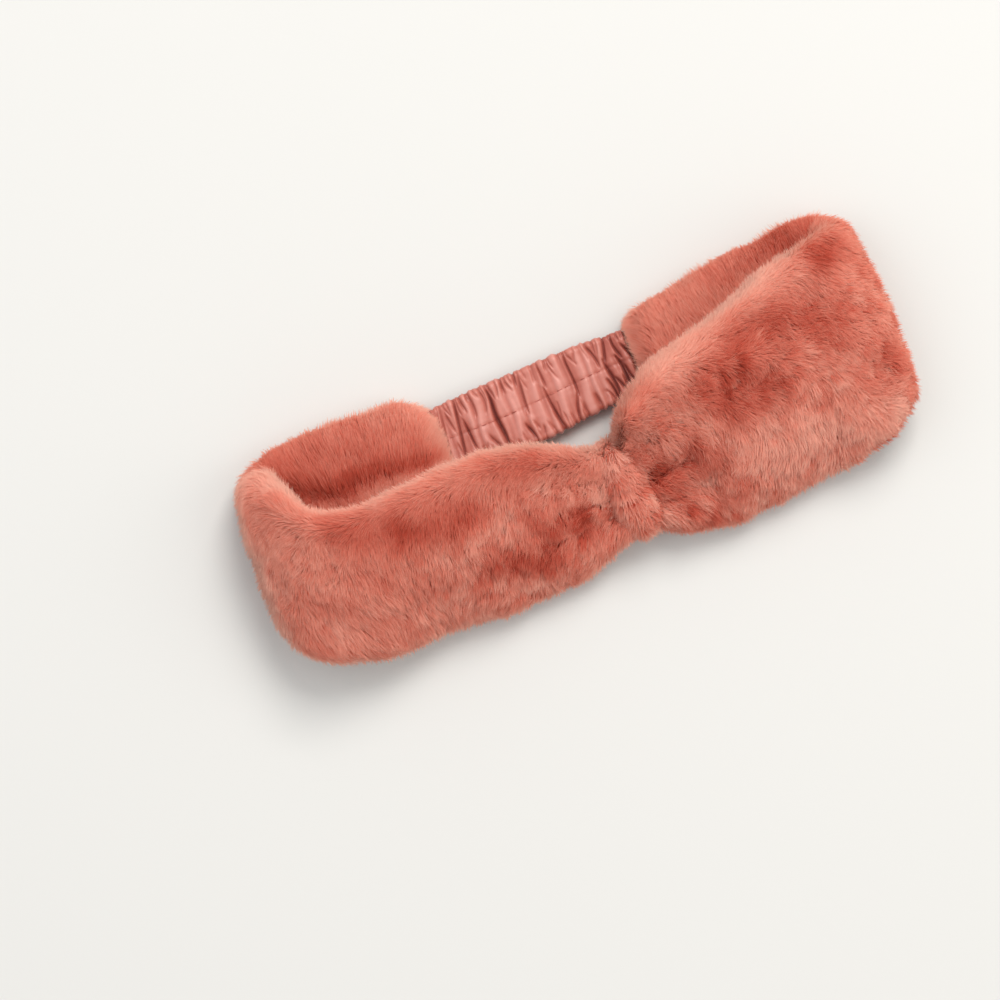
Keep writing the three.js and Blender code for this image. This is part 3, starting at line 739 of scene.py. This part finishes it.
sateen, tree, shader = new_material("gathered_polyester_sateen")
where = node(tree, "TexCoord").outputs["Object"]
rippled = node(tree, "TexWave", [("Vector", where)], wave_type="BANDS", bands_direction="Y",
               Scale=2 * math.pi / 20 / (SATEEN_RIPPLE * MM), Distortion=0.6, Detail=1.0)
bump = node(tree, "Bump", [("Height", rippled.outputs["Fac"])], Strength=0.12, Distance=0.2 * MM)
fold_shade = node(tree, "Attribute", attribute_name="painted_fold_shade").outputs["Fac"]
dyes = [(0.1, "#c88377"), (0.4, "#b26253"), (0.7, "#9a483a"), (1.0, "#7c3024")]
colour = node(tree, "ValToRGB", [("Fac", fold_shade)], dyes).outputs["Color"]
node(tree, shader, [("Base Color", colour), ("Normal", bump.outputs["Normal"])], Roughness=0.42,
     Specular_IOR_Level=0.5, Sheen_Weight=0.15, Anisotropic=0.4)
casing.data.materials.append(sateen)
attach(casing, "root")
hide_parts("elastic_casing")

# --- The casing's stitches ------------------------------------------------------------------------
# A row of machine stitches in spun polyester thread goes through the casing and holds the elastic
# along its middle. Each stitch dips at both ends, where the thread goes down through the cloth.

STITCH_LONG, STITCH_GAP = 2.6, 0.6
THREAD_THICK, THREAD_SIDES = 0.34, 6

round_it = np.linspace(0, 2 * math.pi, THREAD_SIDES, endpoint=False)
thread_ring = np.stack([np.zeros(THREAD_SIDES), np.cos(round_it), np.sin(round_it)], -1) * THREAD_THICK / 2
verts, quads = [], []
for start in np.arange(-46, 38, STITCH_LONG + STITCH_GAP):
    on_x = start + STITCH_LONG * np.linspace(0, 1, 5)
    on_y = np.interp(on_x, casing_x, stitch_y)
    puff = gather_height(on_x, on_y, GATHERS)
    if puff.min() < 0.5:
        continue  # drawn down into a crease, out of sight
    on_z = CASING_Z + casing_reach(puff - SEAM_DEEP) + 0.12 - 0.3 * np.array([1, 0, 0, 0, 1])
    first, last = len(verts), len(verts) + (len(on_x) - 1) * THREAD_SIDES
    verts.extend((np.stack([on_x, on_y, on_z], -1)[:, None] + thread_ring + PLACE).reshape(-1, 3))
    for ring in range(first, last, THREAD_SIDES):
        for j in range(THREAD_SIDES):
            a, b = ring + j, ring + (j + 1) % THREAD_SIDES
            quads.append((a, b, b + THREAD_SIDES, a + THREAD_SIDES))
    quads.append(tuple(range(first + THREAD_SIDES - 1, first - 1, -1)))
    quads.append(tuple(range(last, last + THREAD_SIDES)))
stitch_mesh = bpy.data.meshes.new("casing_stitches")
stitch_mesh.from_pydata((np.array(verts) * MM).tolist(), [], quads)
stitches = bpy.data.objects.new("casing_stitches", stitch_mesh)
bpy.context.scene.collection.objects.link(stitches)

# Spun polyester sewing thread, dull and a shade deeper than the cloth. Its twist comes round every
# 0.8 mm, too fine to show, so slanting bands of a lighter tone, 3.8 mm apart along the row, are painted
# on as a highlight where the twist turns to the light. At scale 1 a wave's slanting bands are 2 pi / 10
# apart along each axis.
TWIST_BANDS = 0.6 * 2 * math.pi

thread, tree, shader = new_material("spun_polyester_thread")
where = node(tree, "TexCoord").outputs["Object"]
twist_highlight = node(tree, "TexWave", [("Vector", where)], wave_type="BANDS", bands_direction="DIAGONAL",
             Scale=2 * math.pi / 10 / (TWIST_BANDS * MM), Distortion=0.4).outputs["Fac"]
dyes = [(0.0, "#9d4d40"), (1.0, "#b9675a")]
colour = node(tree, "ValToRGB", [("Fac", twist_highlight)], dyes).outputs["Color"]
node(tree, shader, [("Base Color", colour)], Roughness=0.6)
stitch_mesh.materials.append(thread)
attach(stitches, "root")

# --- The table and the light ----------------------------------------------------------------------
# The headwrap lies on a plain pale board in a white room. One large soft box at the back right throws
# its soft shadow toward the front left, and two weak ones open the shadows up.

BOARD_HALF, BOARD_TOP = 3, -0.0002  # in metres, with its top just under the lowest fibres

corners = [(x * BOARD_HALF, y * BOARD_HALF, BOARD_TOP) for x, y in ((-1, -1), (1, -1), (1, 1), (-1, 1))]
floor_mesh = bpy.data.meshes.new("table")
floor_mesh.from_pydata(corners, [], [(0, 1, 2, 3)])
table = bpy.data.objects.new("table", floor_mesh)
bpy.context.scene.collection.objects.link(table)

# Painted board, quite dull: it takes a soft shadow and gives back a little light from below.
warm_white, tree, shader = new_material("warm_white_board")
node(tree, shader, Base_Color=sRGB("#d3d3d1"), Roughness=0.9, Specular_IOR_Level=0.1)
floor_mesh.materials.append(warm_white)


def lamp(name, toward, distance, size, power, tint):
    """A square soft box that shines on the middle of the headwrap from the way given."""
    data = bpy.data.lights.new(name, "AREA")
    data.shape, data.size, data.energy, data.color = "SQUARE", size, power, sRGB(tint)[:3]
    made = bpy.data.objects.new(name, data)
    way = unit(np.array(toward, float))
    made.location = way * distance
    made.rotation_euler = Vector(way).to_track_quat("Z", "Y").to_euler()
    bpy.context.scene.collection.objects.link(made)


lamp("key", (0.5, 0.6, 1.0), 2.6, 1.3, 53, "#fffbf6")
lamp("side", (0.95, -0.4, 0.9), 1.8, 1.4, 8, "#fffaf4")
lamp("fill", (-0.7, 0.5, 1.2), 1.8, 1.6, 6, "#f6f8ff")

world = bpy.data.worlds.new("studio")
bpy.context.scene.world = world
world.use_nodes = True
node(world.node_tree, world.node_tree.nodes["Background"], Color=sRGB("#f8f8f6"), Strength=0.65)
bpy.context.scene.view_settings.view_transform = "Standard"  # the colours as they are given

# The camera looks straight down from 1.5 m, turned so that the right end is higher.
eye = bpy.data.objects.new("camera", bpy.data.cameras.new("camera"))
eye.location = (-0.0343, -0.0052, 1.5)
eye.rotation_euler = (0, 0, math.radians(-23))
eye.data.lens = 141
eye.data.sensor_width = 36
bpy.context.scene.collection.objects.link(eye)
bpy.context.scene.camera = eye
